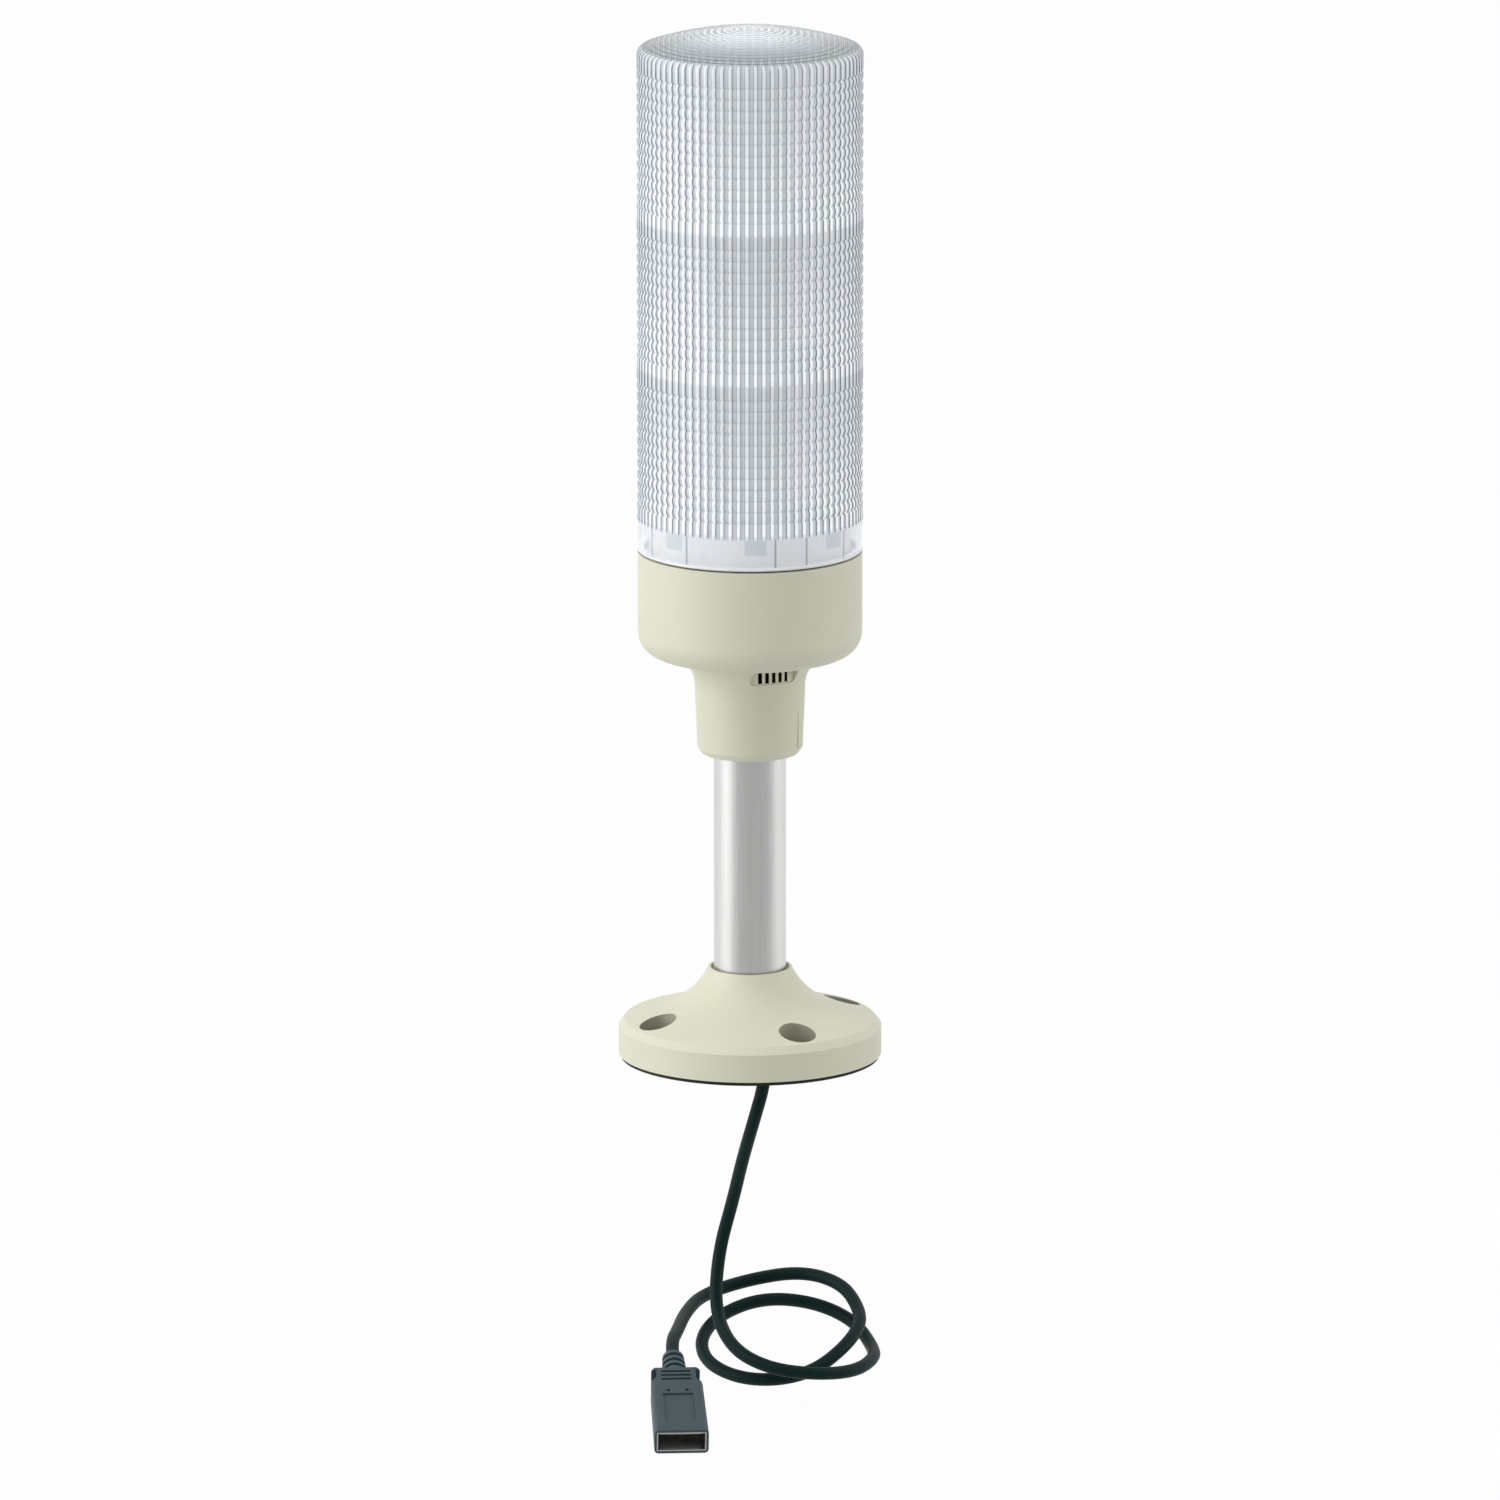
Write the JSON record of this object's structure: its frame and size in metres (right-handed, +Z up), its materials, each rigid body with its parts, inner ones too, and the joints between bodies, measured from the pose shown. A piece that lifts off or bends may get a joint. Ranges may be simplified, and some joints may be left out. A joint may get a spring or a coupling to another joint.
{
  "type": "stack light",
  "caption": "Stack light with a clear ribbed twist-lock lens, a sounder housing, a metal pole, a round screw-down base and a lead with a flat plug.",
  "frame": {"origin": "centre of the gasket's underside, where the base meets what it is screwed to", "axes": "+Z up along the pole, -Y towards the front with the sound slots and one base hole, +X to the right seen from the front"},
  "size_m": [0.0899, 0.0848, 0.3717],
  "materials": {
    "ivory_plastic": "smooth satin ivory moulding",
    "clear_plastic": "clear with ribs outside",
    "black_rubber": "matt black",
    "pole_aluminium": "satin drawn tube",
    "screw_steel": "plated",
    "white_plastic": "matt white moulding",
    "black_plastic": "matt black moulding",
    "circuit_board": "green coated laminate",
    "circuit_board_white": "white coated laminate",
    "lamp_package": "clear resin over a pale chip",
    "cord_sheath": "smooth dark sheath",
    "plug_moulding": "satin dark grey moulding",
    "plated_metal": "bright plated sheet",
    "gilt_metal": "gilt spring strip",
    "can_aluminium": "drawn can"
  },
  "bodies": {
    "stand": {"base_gasket": "black_rubber", "base": "ivory_plastic", "pole_bush": "black_plastic", "pole": "pole_aluminium", "pole_screws": "screw_steel", "housing": "ivory_plastic", "lens_seal": "black_rubber", "lens_collar": "white_plastic", "collar_screws": "screw_steel", "control_board": "circuit_board", "board_screws": "screw_steel", "board_socket": "black_plastic", "led_board": "circuit_board_white", "leds_bottom": "lamp_package", "leds_middle": "lamp_package", "leds_top": "lamp_package", "divider_bottom": "white_plastic", "divider_top": "white_plastic", "inner_cord": "cord_sheath", "cord": "cord_sheath", "strain_relief": "plug_moulding", "plug_body": "plug_moulding", "plug_shell": "plated_metal", "plug_tongue": "white_plastic", "plug_contacts": "gilt_metal", "main_chip": "black_plastic", "capacitor": "can_aluminium", "buzzer": "black_plastic", "cord_connector": "white_plastic"},
    "lens": {"lens": "clear_plastic"}
  },
  "joints": [
    {"name": "lens_twist", "type": "hinge", "parent": "stand", "child": "lens", "pos_m": [0, 0, 0.138], "axis": [0, 0, 1], "range_deg": [0, 24]}
  ]
}
